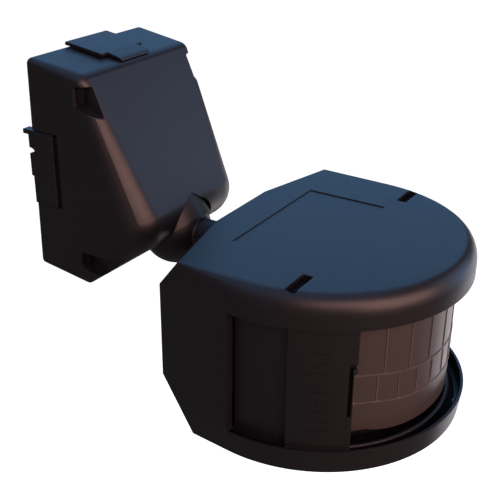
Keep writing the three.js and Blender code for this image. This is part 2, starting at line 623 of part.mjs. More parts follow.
function shutter(side) {
  const { inner, outer, foot, bottom, top } = SHUTTER;
  const angles = onSide(side, SHUTTER.from, SHUTTER.to);
  let panel = curvedWall(inner, outer, angles, [bottom, top]);
  panel = panel.add(curvedWall(inner, foot, angles, [bottom, SHUTTER_STEP]));
  const slotAngles = onSide(side, FINGER_SLOT.from, FINGER_SLOT.to);
  const slotHeights = [FINGER_SLOT.z0, FINGER_SLOT.z1];
  return panel.subtract(curvedWall(outer - FINGER_SLOT.depth, 50, slotAngles, slotHeights));
}

// ---- Electronics --------------------------------------------------------------------------

const onBoardRear = BOARD.rear + GAP;
const onBoardFront = BOARD.front - GAP;

function circuitBoard() {
  const ys = [BOARD.front, BOARD.rear];
  let board = block(about(0, BOARD.halfX), ys, [BOARD.z0, BOARD.z1]);
  for (const [, side] of SIDES) board = board.subtract(rodY(1.6, -95, -85, side * 28, -22, 12));
  return board;
}

function pirElement() {
  const can = rodY(4.6, onBoardFront - 4.4, onBoardFront, 0, PIR_Z, 28);
  const rim = rodY(5, onBoardFront - 0.8, onBoardFront, 0, PIR_Z, 28);
  const window = block(about(0, 2), [onBoardFront - 5, onBoardFront - 4], about(PIR_Z, 1.5));
  return can.add(rim).subtract(window);
}

function dial(x) {
  const knob = rodZ(DIAL.radius, DIAL.z0, DIAL.z1, x, DIAL.y, 28);
  return knob.subtract(block(about(x, 3.8), about(DIAL.y, 0.6), [DIAL.z0 - 1, DIAL.z0 + 1.4]));
}

const trimmer = (x) => block(about(x, 4.5), about(DIAL.y, 4.5), [DIAL.z1 + GAP, -56]);

function headLeads() {
  return leads([[0, -50, BALL.z], [0, -66, BALL.z], [0, -77, BALL.z], [5, -82, -23], [5, -87, -21.5]], 1.9);
}

// ---- Assembly -----------------------------------------------------------------------------

const sensor = new THREE.Group();

function place(name, body, material) {
  const mesh = new THREE.Mesh(surface(body), material);
  mesh.name = name;
  sensor.add(mesh);
}

place('wall_plate', wallPlate(), CASE_INNER);
place('cable_grommet', cableGrommet(), SEAL);
place('bracket_cover', bracketCover(), CASE);
for (const [hand, side] of SIDES) {
  place(`${hand}_entry_insert`, entryInsert(side), CASE);
  place(`bridge_screw_${hand}`, bridgeScrew(side), STEEL);
}
place('swivel_bridge', swivelBridge(), STEEL);
place('terminal_block', terminalBlock(), NYLON);
for (const pole of [-1, 0, 1]) place(`terminal_screw_${pole + 2}`, terminalScrew(pole), BRASS);
place('bracket_leads', bracketLeads(), PART_BLACK);
place('top_latch', topLatch(), CASE);

place('swivel_cup', swivelCup(), CASE);
place('friction_washer', inSwivel(ring(CUP.stud + GAP, 9.5, 16, 17)), NYLON);
place('spring_washer', inSwivel(ring(CUP.stud + GAP, 8.5, 17.3, 18.3)), STEEL);
place('swivel_nut', inSwivel(nutGeometry(8.5, CUP.stud + GAP, 18.6, 22.1)), BRASS);

place('ball_and_neck', ballAndNeck(), CASE);
place('neck_seal', onNeck(ring(NECK.radius + GAP, 8, 0, 1.5), -64), SEAL);
place('neck_nut', onNeck(nutGeometry(9, NECK.radius + GAP, 0, 3), -68.5), CASE_INNER);
place('head_housing', housing(), CASE);
place('head_base', headBase(), CASE);
place('lens', lens(), LENS_SMOKE);
place('lens_carrier', lensCarrier(), CASE_INNER);
place('circuit_board', circuitBoard(), BOARD_GREEN);
place('pir_element', pirElement(), STEEL);
place('photocell', rodY(2.6, onBoardFront - 2.2, onBoardFront, 14, -27, 20), AMBER);
place('status_led', rodY(1.5, onBoardFront - 4, onBoardFront, -14, -27, 16), AMBER);
place('relay', block([-27, -9], [onBoardRear, -76], [-41, -26]), PART_BLUE);
place('film_capacitor', block([-24, -8], [onBoardRear, -80.5], [-53.5, -43]), PART_BLUE);
place('storage_capacitor', rodZ(5, -53, -34, 18, -82, 24), PART_BLACK);
place('transformer', block([11, 27], [onBoardRear, -74.5], [-32, -17.5]), PART_BLACK);
place('lead_connector', block([1, 9], [onBoardRear, -84.5], [-33, -25]), NYLON);
for (const [name, x] of DIALS) {
  place(`${name}_trimmer`, trimmer(x), PART_BLUE);
  place(`${name}_dial`, dial(x), NYLON);
}
place('head_leads', headLeads(), PART_BLACK);
for (const [hand, side] of SIDES) {
  place(`base_screw_${hand}`, baseScrew(side), STEEL);
  place(`${hand}_shutter`, shutter(side), CASE);
}

export default sensor;
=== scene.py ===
"""Looks of an outdoor motion sensor: a round-fronted head on a ball joint under a wall bracket.

Meshes are modelled in millimetres and turned into metres when they become pieces. Main sizes are
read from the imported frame, and fine shapes repeat the sizes of the CAD source, with softer edges.
"""

import json
import math

import bmesh
import bpy
from mathutils import Matrix, Vector

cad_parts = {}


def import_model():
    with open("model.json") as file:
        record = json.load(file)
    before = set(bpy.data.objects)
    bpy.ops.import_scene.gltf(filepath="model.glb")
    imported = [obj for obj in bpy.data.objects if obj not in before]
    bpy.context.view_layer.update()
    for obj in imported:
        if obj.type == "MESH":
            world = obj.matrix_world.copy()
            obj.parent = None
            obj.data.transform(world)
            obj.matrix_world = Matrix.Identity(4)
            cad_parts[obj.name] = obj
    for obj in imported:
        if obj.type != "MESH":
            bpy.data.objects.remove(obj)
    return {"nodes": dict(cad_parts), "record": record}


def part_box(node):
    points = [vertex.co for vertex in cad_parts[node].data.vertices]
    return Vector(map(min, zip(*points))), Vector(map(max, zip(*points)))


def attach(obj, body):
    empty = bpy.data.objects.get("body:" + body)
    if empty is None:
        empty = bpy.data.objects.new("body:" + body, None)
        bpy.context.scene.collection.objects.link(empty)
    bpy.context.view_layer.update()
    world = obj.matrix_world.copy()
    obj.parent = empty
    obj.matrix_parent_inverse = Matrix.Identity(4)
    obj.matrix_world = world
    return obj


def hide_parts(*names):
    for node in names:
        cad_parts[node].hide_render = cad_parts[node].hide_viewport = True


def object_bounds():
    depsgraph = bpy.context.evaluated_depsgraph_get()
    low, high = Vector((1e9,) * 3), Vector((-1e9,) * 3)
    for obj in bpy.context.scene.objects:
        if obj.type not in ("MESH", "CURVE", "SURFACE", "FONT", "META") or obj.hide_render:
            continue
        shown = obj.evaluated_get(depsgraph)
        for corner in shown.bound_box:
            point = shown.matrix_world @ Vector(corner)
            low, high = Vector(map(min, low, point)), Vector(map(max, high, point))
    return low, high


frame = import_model()
cad_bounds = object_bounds()

MM = 0.001
SIDES = (("left", -1), ("right", 1))


def box_mm(node):
    """Lowest and highest corner of a CAD node in millimetres."""
    low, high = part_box(node)
    return low / MM, high / MM


# ---- Sizes in millimetres ---------------------------------------------------------------

GAP = 0.3
WALL = 2.2

COVER_HALF_WIDTH = box_mm("bracket_cover")[1].x
REAR_TOP = (-5.4, 33.8)
FRONT_TOP = (-27.0, 30.8)
NOSE = (-50.4, -19.4)
HEEL = (-24.4, -38.4)
REAR_BOTTOM = (-4.2, -35.6)
COVER_OUTLINE = (REAR_TOP, FRONT_TOP, NOSE, HEEL, REAR_BOTTOM)
COVER_ROUNDING = (2.0, 3.4, 10.0, 2.0, 1.8)
OPEN_REAR_Y = 2.0
CABLE_Z = -11.0
BRIDGE_SCREW_X = 21.8

RECESS_INNER_X = 23.9
RECESS_WALL = 1.8
RECESS_FALL = 0.35
RECESSES = ((-24.2, 21.1, 27.3), (-22.7, -32.1, -27.1))  # floor y, lowest z, highest z
ENTRY_FRONT_Y = -16.0
ENTRY_PLATE_Y = -14.0
ENTRY_REAR_Y = -4.9
ENTRY_LOW, ENTRY_HIGH = -13.7, 10.9

LATCH_HALF_WIDTH = box_mm("top_latch")[1].x
LATCH_THICKNESS = 1.2
LATCH_FRONT_Y = -20.2
LATCH_TIP = 0.4
LATCH_TURN = 18.0
LATCH_LIP_HALF_WIDTH = 7.2

BALL_LOW, BALL_HIGH = box_mm("ball_and_neck")
BALL_RADIUS = BALL_HIGH.x
BALL = Vector((0, BALL_HIGH.y - BALL_RADIUS, BALL_LOW.z + BALL_RADIUS))
SWIVEL_LEAN = math.radians(36.2)
SWIVEL_FRAME = Matrix.Translation(BALL) @ Matrix.Rotation(-SWIVEL_LEAN, 4, "X")
CUP_INNER = 11.9
CUP_OUTER = 12.5
CUP_RIM = -1.0
CUP_TOP = 12.9
CUP_STUD = 4.8
CUP_STUD_TOP = 24.0
CUP_BORE = 3.2
NOTCH_RADIUS = 10.8
NOTCH_Z = -23.3
NECK_RADIUS = 5.6
NECK_BORE = 3.6
NECK_END_Y = BALL_LOW.y

HEAD_LOW, HEAD_HIGH = box_mm("head_housing")
TRAY_RADIUS = HEAD_HIGH.x
AXIS_Y = HEAD_LOW.y + TRAY_RADIUS
HEAD_REAR = HEAD_HIGH.y
HOOD_TOP = HEAD_HIGH.z
HEAD_BOTTOM = HEAD_LOW.z
HOOD_RADIUS = 45.8
HOOD_FILLET = 4.2
HOOD_DROP = 6.0
CORNER_FILLET_SHARE = 0.25
HOOD_EDGE = -20.5
HOOD_INNER_RADIUS = 44.7
HOOD_THICKNESS = 2.4
TRAY_TOP = -58.7
TRAY_FOOT_RADIUS = 45.5
HEAD_SIDE = 44.0
REAR_SHOULDER_X = 14.0
REAR_CORNER_Y = -66.4
TOP_CORNER_Y = -72.5
REAR_CORNER_TOP = -18.8
CHAMFER_TOP = -48.7
CHAMFER_FOOT_Y = -76.9
ARC_END = 105.0
WINDOW_HALF_ANGLE = 96.0
SLOT_X = 36.0
SLOT_Y = -106.6
SLOT_LENGTH = 10.2
SLOT_WIDTH = 3.1
UNDER_RADIUS = 45.2
UNDER_REAR_Y = -79.5
UNDER_HALF_X = 42.4
UNDER_STEP = -63.4
UNDER_STEP_WIDTH = 1.4
JAMB_INNER = 42.9
JAMB_TO = 99.0
POST_X = 33.0
POST_Y = -84.0
POST_RADIUS = 3.2

LENS_LOW, LENS_HIGH = box_mm("lens")
LENS_RADIUS = AXIS_Y - LENS_LOW.y
LENS_INNER = LENS_RADIUS - 1.2
LENS_HALF_ANGLE = 74.0
CARRIER_INNER = 37.4
CARRIER_OUTER = 39.5
CARRIER_END = 98.0
CHEEK_OUTER = 42.6
CHEEK_FROM, CHEEK_TO = 74.5, 95.6
RIB_INNER, RIB_OUTER = 40.4, 42.1
RIB_TOP = -60.0
RIB_HALF_ANGLE = 74.0
SHUTTER_LOW, SHUTTER_HIGH = box_mm("left_shutter")
SHUTTER_INNER = 42.9
SHUTTER_OUTER = 44.3
SHUTTER_FOOT = 44.9
SHUTTER_FROM = 49.8
SHUTTER_TO = 73.5
SHUTTER_STEP = -59.2
FINGER_SLOT_LOW, FINGER_SLOT_HIGH = -48.4, -31.6
EXTENSION_FROM, EXTENSION_TO = 48.6, 50.2
EXTENSION_LOW = -34.6
EXTENSION_CUT_LOW = -33.2
BAR_ROWS, BAR_LOW, BAR_PITCH, BAR_HEIGHT = 9, -53.8, 3.1, 1.1
BAR_FROM, BAR_ENDS = 58.6, (64.8, 62.8)

DIALS = (("time", -16), ("light", 0), ("range", 16))  # name, x
DIAL_Y = -87
DIAL_RADIUS = 4.8
DIAL_KNURL_RADIUS = 4.55
DIAL_LOW, DIAL_HIGH = -65.8, -61.0
DIAL_HOLE_RADIUS = 5.2
PLATE_LOW, PLATE_HIGH = HEAD_BOTTOM + 0.2, HEAD_BOTTOM + 2.2


# ---- Mesh tools -------------------------------------------------------------------------

def linked(name, bm):
    """Object from a bmesh, in millimetres."""
    bmesh.ops.recalc_face_normals(bm, faces=bm.faces)
    mesh = bpy.data.meshes.new(name)
    bm.to_mesh(mesh)
    bm.free()
    obj = bpy.data.objects.new(name, mesh)
    bpy.context.scene.collection.objects.link(obj)
    return obj


def hull(points):
    """Convex hull of points, with its flat faces merged."""
    bm = bmesh.new()
    for point in points:
        bm.verts.new(point)
    found = bmesh.ops.convex_hull(bm, input=bm.verts)
    spare = {g for g in found["geom_interior"] + found["geom_unused"]
             if isinstance(g, bmesh.types.BMVert)}
    bmesh.ops.delete(bm, geom=list(spare), context="VERTS")
    bmesh.ops.dissolve_limit(bm, angle_limit=math.radians(0.4), verts=bm.verts, edges=bm.edges)
    return linked("hull", bm)


def block(x0, x1, y0, y1, z0, z1):
    return hull([(x, y, z) for x in (x0, x1) for y in (y0, y1) for z in (z0, z1)])


def between(side, a, b):
    """Lowest and highest x of a range that is mirrored onto one side."""
    return min(side * a, side * b), max(side * a, side * b)


def prism(outline, place):
    """Closed prism; place(u, v, end) gives the point for each outline corner at end 0 and 1."""
    bm = bmesh.new()
    rings = [[bm.verts.new(place(u, v, end)) for u, v in outline] for end in (0, 1)]
    count = len(outline)
    bm.faces.new(rings[0])
    bm.faces.new(list(reversed(rings[1])))
    for i in range(count):
        j = (i + 1) % count
        bm.faces.new((rings[0][i], rings[0][j], rings[1][j], rings[1][i]))
    return linked("prism", bm)


def side_prism(outline, x0, x1):
    return prism(outline, lambda y, z, end: (x1 if end else x0, y, z))


def plan_prism(outline, z0, z1):
    return prism(outline, lambda x, y, end: (x, y, z1 if end else z0))


def turned(profile, matrix=Matrix.Identity(4), sides=96, start=0.0, turn=360.0):
    """Solid of revolution about +Z of a closed [radius, z] profile, whole or over an angle."""
    bm = bmesh.new()
    whole = turn >= 360
    count = sides if whole else sides + 1
    rings = []
    for i in range(count):
        angle = math.radians(start + turn * i / sides)
        rings.append([
            bm.verts.new(matrix @ Vector((r * math.cos(angle), r * math.sin(angle), z)))
            for r, z in profile
        ])
    size = len(profile)
    for i in range(count if whole else count - 1):
        here, there = rings[i], rings[(i + 1) % count]
        for k in range(size):
            n = (k + 1) % size
            bm.faces.new((here[k], there[k], there[n], here[n]))
    if not whole:
        bm.faces.new(rings[0])
        bm.faces.new(list(reversed(rings[-1])))
    bmesh.ops.remove_doubles(bm, verts=bm.verts, dist=1e-4)
    return linked("turned", bm)


def rod(radius, a, b, sides=48):
    """Rod between two points."""
    a, b = Vector(a), Vector(b)
    turn = (b - a).to_track_quat("Z", "Y").to_matrix().to_4x4()
    length = (b - a).length
    angles = [2 * math.pi * i / sides for i in range(sides)]
    outline = [(radius * math.cos(t), radius * math.sin(t)) for t in angles]
    place = Matrix.Translation(a) @ turn
    return prism(outline, lambda x, y, end: place @ Vector((x, y, length if end else 0)))


def curved_wall(inner, outer, start, end, z0, z1, step=1.5):
    """Curved wall about the lens axis. Angle 0 looks along -Y; positive angles turn to +X."""
    sides = max(2, math.ceil((end - start) / step))
    axis = Matrix.Translation((0, AXIS_Y, 0))
    profile = [(inner, z0), (outer, z0), (outer, z1), (inner, z1)]
    return turned(profile, axis, sides, start - 90, end - start)


def arc_point(radius, degrees):
    angle = math.radians(degrees - 90)
    return radius * math.cos(angle), AXIS_Y + radius * math.sin(angle)


def moved(obj, matrix):
    obj.data.transform(matrix)
    return obj


def applied(obj):
    """Bakes an object's modifiers into its mesh."""
    depsgraph = bpy.context.evaluated_depsgraph_get()
    mesh = bpy.data.meshes.new_from_object(obj.evaluated_get(depsgraph))
    obj.modifiers.clear()
    old = obj.data
    obj.data = mesh
    bpy.data.meshes.remove(old)
    return obj


def discard(*objects):
    for obj in objects:
        bpy.data.objects.remove(obj)


def combined(target, tools, operation):
    """Joins tools to a target or cuts them from it, and removes the tools."""
    for tool in tools:
        modifier = target.modifiers.new("combine", "BOOLEAN")
        modifier.operation = operation
        modifier.solver = "EXACT"
        modifier.object = tool
    applied(target)
    discard(*tools)
    return target


def cut(target, *tools):
    return combined(target, tools, "DIFFERENCE")


def joined(target, *tools):
    return combined(target, tools, "UNION")


def soften(obj, width, segments=2, angle=35):
    """Rounds every edge sharper than an angle."""
    bm = bmesh.new()
    bm.from_mesh(obj.data)
    bmesh.ops.remove_doubles(bm, verts=bm.verts, dist=0.01)
    bmesh.ops.dissolve_degenerate(bm, edges=bm.edges, dist=0.01)
    bm.to_mesh(obj.data)
    bm.free()
    modifier = obj.modifiers.new("round", "BEVEL")
    modifier.width = width
    modifier.segments = segments
    modifier.limit_method = "ANGLE"
    modifier.angle_limit = math.radians(angle)
    modifier.use_clamp_overlap = False
    modifier.miter_outer = "MITER_ARC"
    return applied(obj)


def piece(obj, name, body, material, nodes=(), angle=32):
    """Turns a modelled object into a finished piece, in metres, that rides on a body."""
    obj.data.transform(Matrix.Scale(MM, 4))
    obj.name = name
    obj.data.name = name
    obj.data.materials.clear()
    obj.data.materials.append(material)
    for polygon in obj.data.polygons:
        polygon.use_smooth = True
        polygon.material_index = 0
    obj.data.set_sharp_from_angle(angle=math.radians(angle))
    weighted = obj.modifiers.new("even shading", "WEIGHTED_NORMAL")
    weighted.keep_sharp = True
    applied(obj)
    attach(obj, body)
    if nodes:
        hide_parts(*nodes)
    return obj


# ---- Materials --------------------------------------------------------------------------

def principled(name):
    material = bpy.data.materials.new(name)
    material.use_nodes = True
    return material, material.node_tree, material.node_tree.nodes["Principled BSDF"]


def noise(tree, place, scale, detail=4.0, roughness=0.55):
    node = tree.nodes.new("ShaderNodeTexNoise")
    node.inputs["Scale"].default_value = scale
    node.inputs["Detail"].default_value = detail
    node.inputs["Roughness"].default_value = roughness
    tree.links.new(place.outputs["Object"], node.inputs["Vector"])
    return node


def ramp(tree, source, low, high, start=0.35, end=0.65):
    """Colour ramp between two values or colours, driven by a texture's factor."""
    node = tree.nodes.new("ShaderNodeValToRGB")
    ends = [c if hasattr(c, "__len__") else (c, c, c) for c in (low, high)]
    for element, where, colour in zip(node.color_ramp.elements, (start, end), ends):
        element.position = where
        element.color = (*colour, 1)
    tree.links.new(source, node.inputs["Fac"])
    return node.outputs["Color"]


def moulded(name, dark, light, rough, grain=0.12, grain_size=0.45, specular=0.5):
    """Moulded plastic: fine spark-eroded grain, faintly cloudy colour and an uneven sheen."""
    material, tree, shader = principled(name)
    place = tree.nodes.new("ShaderNodeTexCoord")
    cloud = noise(tree, place, 25, detail=2.0)
    tree.links.new(
        ramp(tree, cloud.outputs["Fac"], dark, light, 0.2, 0.8), shader.inputs["Base Color"]
    )
    sheen = noise(tree, place, 420, detail=3.0)
    tree.links.new(
        ramp(tree, sheen.outputs["Fac"], rough[0], rough[1], 0.2, 0.8), shader.inputs["Roughness"]
    )
    pits = noise(tree, place, 1000 / grain_size, detail=2.0)
    bump = tree.nodes.new("ShaderNodeBump")
    bump.inputs["Strength"].default_value = grain
    bump.inputs["Distance"].default_value = 0.00006
    tree.links.new(pits.outputs["Fac"], bump.inputs["Height"])
    tree.links.new(bump.outputs["Normal"], shader.inputs["Normal"])
    shader.inputs["Specular IOR Level"].default_value = specular
    return material


def metal(name, dark, light, rough):
    material, tree, shader = principled(name)
    place = tree.nodes.new("ShaderNodeTexCoord")
    cloud = noise(tree, place, 300)
    tree.links.new(ramp(tree, cloud.outputs["Fac"], dark, light), shader.inputs["Base Color"])
    tree.links.new(
        ramp(tree, cloud.outputs["Fac"], rough[0], rough[1]), shader.inputs["Roughness"]
    )
    shader.inputs["Metallic"].default_value = 1.0
    return material


CASE = moulded("case_plastic", (0.0085, 0.0085, 0.009), (0.0115, 0.011, 0.0112), (0.36, 0.42))
# Dark matte inner plastic; the same material also paints shade on the entry groove strips, the
# shutter slot sheets and the base plate's top.
INNER_PLASTIC_AND_SHADE = moulded(
    "inner_plastic_and_painted_shade", (0.004, 0.004, 0.0045), (0.006, 0.006, 0.0065), (0.7, 0.8), specular=0.12
)
LENS_SMOKE = moulded(
    "smoked_lens", (0.048, 0.038, 0.033), (0.06, 0.049, 0.042), (0.34, 0.4), 0.05, specular=0.85
)
LENS_LINE = moulded("lens_line", (0.1, 0.078, 0.068), (0.125, 0.1, 0.088), (0.34, 0.4), 0.05)
STEEL = metal("zinc_plated_steel", (0.52, 0.53, 0.55), (0.68, 0.68, 0.68), (0.24, 0.4))
BRASS = metal("brass", (0.6, 0.42, 0.16), (0.74, 0.55, 0.26), (0.22, 0.38))
SEAL = moulded("rubber_seal", (0.010, 0.010, 0.010), (0.016, 0.016, 0.016), (0.7, 0.85), 0.2)
BOARD_GREEN = moulded("solder_mask", (0.01, 0.09, 0.035), (0.02, 0.14, 0.06), (0.3, 0.42), 0.06)
PART_BLACK = moulded("part_black", (0.012, 0.012, 0.014), (0.02, 0.02, 0.022), (0.36, 0.48))
PART_BLUE = moulded("part_blue", (0.015, 0.06, 0.22), (0.03, 0.09, 0.28), (0.3, 0.42))
NYLON = moulded("nylon", (0.58, 0.55, 0.47), (0.68, 0.66, 0.58), (0.4, 0.5), 0.08)
AMBER = moulded("amber_window", (0.42, 0.12, 0.02), (0.55, 0.2, 0.04), (0.15, 0.25), 0.03)

CAD_LOOKS = {
    "case": CASE, "case_inner": INNER_PLASTIC_AND_SHADE, "lens": LENS_SMOKE, "steel": STEEL, "brass": BRASS,
    "seal": SEAL, "board": BOARD_GREEN, "component_black": PART_BLACK, "lead": PART_BLACK,
    "component_blue": PART_BLUE, "nylon": NYLON, "amber": AMBER,
}


# ---- Bracket ----------------------------------------------------------------------------

def inset_outline(outline, insets):
    """Moves each corner of an outline inside its two edges by its own distance."""
    corners = [Vector(corner) for corner in outline]
    count = len(corners)
    result = []
    for i, here in enumerate(corners):
        back = (corners[i - 1] - here).normalized()
        ahead = (corners[(i + 1) % count] - here).normalized()
        spread = abs(back.x * ahead.y - back.y * ahead.x)
        result.append(here + (back + ahead) * (insets[i] / spread))
    return result


def rounded_prism(outline, half_width, radii, rows=8, around=64):
    """Convex prism across X with every corner rounded to its own radius."""
    points = []
    for (y, z), radius in zip(inset_outline(outline, radii), radii):
        for side in (-1, 1):
            for row in range(rows + 1):
                lean = math.pi / 2 * row / rows
                x = side * (half_width - radius + radius * math.cos(lean))
                reach = radius * math.sin(lean)
                for step in range(around if row else 1):
                    angle = 2 * math.pi * step / around
                    points.append((x, y + reach * math.cos(angle), z + reach * math.sin(angle)))
    return hull(points)


def line_height(a, b, y):
    """Height of the line through two outline corners at a given y."""
    return a[1] + (b[1] - a[1]) * (y - a[0]) / (b[0] - a[0])


def recess_space(recess, side, wall):
    """Space of one release recess, open to the side and the front, grown by a wall."""
    floor_y, low, high = recess
    rear, front = floor_y + wall, -60
    outline = [
        (rear, high + wall), (front, high + wall),
        (front, low - wall - RECESS_FALL * (rear - front)), (rear, low - wall),
    ]
    return side_prism(outline, *between(side, RECESS_INNER_X - wall, COVER_HALF_WIDTH + 5))


def swivel_rod(radius, z0, z1, x=0.0, sides=64):
    return moved(rod(radius, (x, 0, z0), (x, 0, z1), sides), SWIVEL_FRAME)


def swivel_block(*limits):
    return moved(block(*limits), SWIVEL_FRAME)


def bracket_cover():
    outer = rounded_prism(COVER_OUTLINE, COVER_HALF_WIDTH, COVER_ROUNDING)
    inside = inset_outline(COVER_OUTLINE, [WALL] * len(COVER_OUTLINE))
    top, front_top, _, heel, bottom = inside
    inside[0] = Vector((OPEN_REAR_Y, line_height(front_top, top, OPEN_REAR_Y)))
    inside[-1] = Vector((OPEN_REAR_Y, line_height(heel, bottom, OPEN_REAR_Y)))
    inner_rounding = [max(radius - WALL, 0.6) for radius in COVER_ROUNDING]
    cavity = rounded_prism(inside, COVER_HALF_WIDTH - WALL, inner_rounding, 4, 32)
    fills = []
    for _, side in SIDES:
        fills += [recess_space(recess, side, RECESS_WALL) for recess in RECESSES]
        fills.append(swivel_block(*between(side, 19.6, 25.8), -5, 5, 9.5, 12.9))
    cover = cut(outer, cut(cavity, *fills))
    openings = [
        swivel_rod(CUP_OUTER + GAP, -20, CUP_TOP + GAP, sides=96),
        rod(NOTCH_RADIUS, (0, -60, NOTCH_Z), (0, BALL.y, NOTCH_Z), 96),
    ]
    for _, side in SIDES:
        for floor_y, low, high in RECESSES:
            openings.append(recess_space((floor_y, low, high), side, 0))
            openings.append(block(*between(side, 23.7, 25.5), floor_y - GAP,
                                  floor_y + RECESS_WALL + GAP, low + GAP, high - GAP))
        openings.append(swivel_rod(1.5, 8, 14, side * BRIDGE_SCREW_X, 24))
        openings.append(block(*between(side, COVER_HALF_WIDTH - WALL - 0.5, COVER_HALF_WIDTH + 2),
                              ENTRY_FRONT_Y, 1, ENTRY_LOW, ENTRY_HIGH))
    cut(cover, *openings)
    soften(cover, 0.3)
    return piece(cover, "cover_shell", "bracket", CASE, ["bracket_cover"])


def entry_panel(hand, side):
    """Cable-entry panel, flush with the cover's side, with a soft groove in front of it."""
    face, floor, back = COVER_HALF_WIDTH, COVER_HALF_WIDTH - 2.4, COVER_HALF_WIDTH - 3.9
    low, high = ENTRY_LOW + 0.04, ENTRY_HIGH - 0.25
    edge = [
        (face, ENTRY_REAR_Y), (face, ENTRY_PLATE_Y + 0.5), (face - 0.15, ENTRY_PLATE_Y + 0.15),
        (face - 0.5, ENTRY_PLATE_Y), (floor, ENTRY_PLATE_Y), (floor, ENTRY_FRONT_Y + 0.05),
        (back, ENTRY_FRONT_Y + 0.05), (back, ENTRY_REAR_Y),
    ]
    # Dark matte strip on the groove's floor: painted shade along the groove in front of the panel.
    strip = block(*between(side, face - 1.6, face - 0.45), ENTRY_FRONT_Y + 0.05, ENTRY_PLATE_Y,
                  low + 0.4, high - 0.6)
    piece(strip, f"{hand}_entry_groove_shade", "bracket", INNER_PLASTIC_AND_SHADE)
    panel = plan_prism([(side * x, y) for x, y in edge], low, high)
    lip = block(*between(side, back, face), -6, -4.1, -4.6, high)
    tab = block(*between(side, face - 3, face), -6, -2, high - 1.5, high)
    flange = block(*between(side, back, back + 1.4), -17.2, ENTRY_REAR_Y,
                   ENTRY_LOW - 1.5, ENTRY_HIGH + 1.5)
    joined(panel, lip, tab, flange)
    notch = rod(1, (0, 0, -4), (0, 0, 4), 32)
    turn = Matrix.Translation((side * face, -4.1, 3.9)) @ Matrix.Diagonal((1, 2.0, 0.95, 1))
    moved(notch, turn @ Matrix.Rotation(math.pi / 2, 4, "Y"))
    cut(panel, notch)
    soften(panel, 0.12)
    name = f"{hand}_entry_panel"
    return piece(panel, name, "bracket", CASE, [f"{hand}_entry_insert"])


def wall_plate():
    """Back plate with fixing slots, a cable hole, snap arms and pockets in its rear face."""
    plate = block(-19.5, 19.5, -4.5, 0, -27, 27)
    parts = [block(-22, 22, -7, -4.4, -29, 29.5)]
    for _, side in SIDES:
        for floor_y, low, high in RECESSES:
            z0, z1 = max(low + 2 * GAP, -31.5), high - 2 * GAP
            tip = floor_y - GAP
            parts.append(block(*between(side, 24, 25.2), tip - 1.5, -4.5, z0, z1))
            parts.append(block(*between(side, 20, 25.2), -7, -4.5, z0, z1))
            parts.append(side_wedge(side, tip, z0, z1))
    joined(plate, *parts)
    holes = [
        rod(7.5, (0, -12, CABLE_Z), (0, 1, CABLE_Z), 64),
        block(-2.4, 2.4, -12, 1, 15, 25),
        block(-5, 5, -12, 1, -26, -21.2),
    ]
    for _, side in SIDES:
        holes += [
            block(*between(side, 5, 17), -1.4, 1, 3, 12),
            block(*between(side, 5, 17), -1.4, 1, 14, 24.5),
            block(*between(side, 10, 17), -1.4, 1, -19, 0.5),
        ]
    cut(plate, *holes)
    soften(plate, 0.3)
    return piece(plate, "back_plate", "bracket", INNER_PLASTIC_AND_SHADE, ["wall_plate"])


def side_wedge(side, tip, z0, z1):
    """Hook of a snap arm, sloped towards its tip."""
    points = [(side * x, y, z) for z in (z0, z1)
              for x, y in ((24, tip), (26.5, tip), (24, tip - 1.5), (25.4, tip - 1.5))]
    return hull(points)


def grommet():
    profile = [
        (4.6, 0.3), (4.9, 0), (7.0, 0), (7.2, 0.2), (7.2, 7.3), (9.0, 7.3), (9.3, 7.6), (9.3, 8.6),
        (8.9, 9), (5.2, 9), (4.6, 8.4),
    ]
    turn = Matrix.Translation((0, -0.2, CABLE_Z)) @ Matrix.Rotation(math.pi / 2, 4, "X")
    ring = turned(profile, turn, 64)
    return piece(ring, "cable_seal", "bracket", SEAL, ["cable_grommet"])


def latch_clip():
    """Thin plate on the cover's top whose narrower lip follows the cover's front rounding."""
    ahead = (Vector(FRONT_TOP) - Vector(REAR_TOP)).normalized()
    up = Vector((ahead.y, -ahead.x))
    rounding = COVER_ROUNDING[1]
    centre = inset_outline(COVER_OUTLINE, COVER_ROUNDING)[1]
    inner = rounding + GAP
    outer = inner + LATCH_THICKNESS
    rear = (centre - Vector(REAR_TOP)).dot(ahead) - 0.4
    front = (centre.x - LATCH_FRONT_Y) / ahead.x

    def flat(radius, back):
        return centre + up * radius - ahead * back

    def bent(share, thickness):
        angle = math.atan2(up.y, up.x) + math.radians(LATCH_TURN * share)
        return centre + Vector((math.cos(angle), math.sin(angle))) * (inner + thickness)

    half = LATCH_HALF_WIDTH
    plate = side_prism([flat(inner, rear), flat(outer - 0.3, rear), flat(outer, rear - 0.3),
                        flat(outer, front), flat(inner, front)], -half, half)
    lip = [flat(inner, front + 1), flat(outer, front + 1), flat(outer, front)]
    steps = [i / 8 for i in range(9)]
    lip += [bent(s, LATCH_THICKNESS + (LATCH_TIP - LATCH_THICKNESS) * (s + 1) / 2) for s in steps]
    lip += [bent(s, 0) for s in reversed(steps)]
    tongue = side_prism(lip, -LATCH_LIP_HALF_WIDTH, LATCH_LIP_HALF_WIDTH)
    joined(soften(plate, 0.25, 2, 40), soften(tongue, 0.2, 2, 40))
    return piece(plate, "latch_clip", "latch", CASE, ["top_latch"], 40)


# ---- Ball joint -------------------------------------------------------------------------

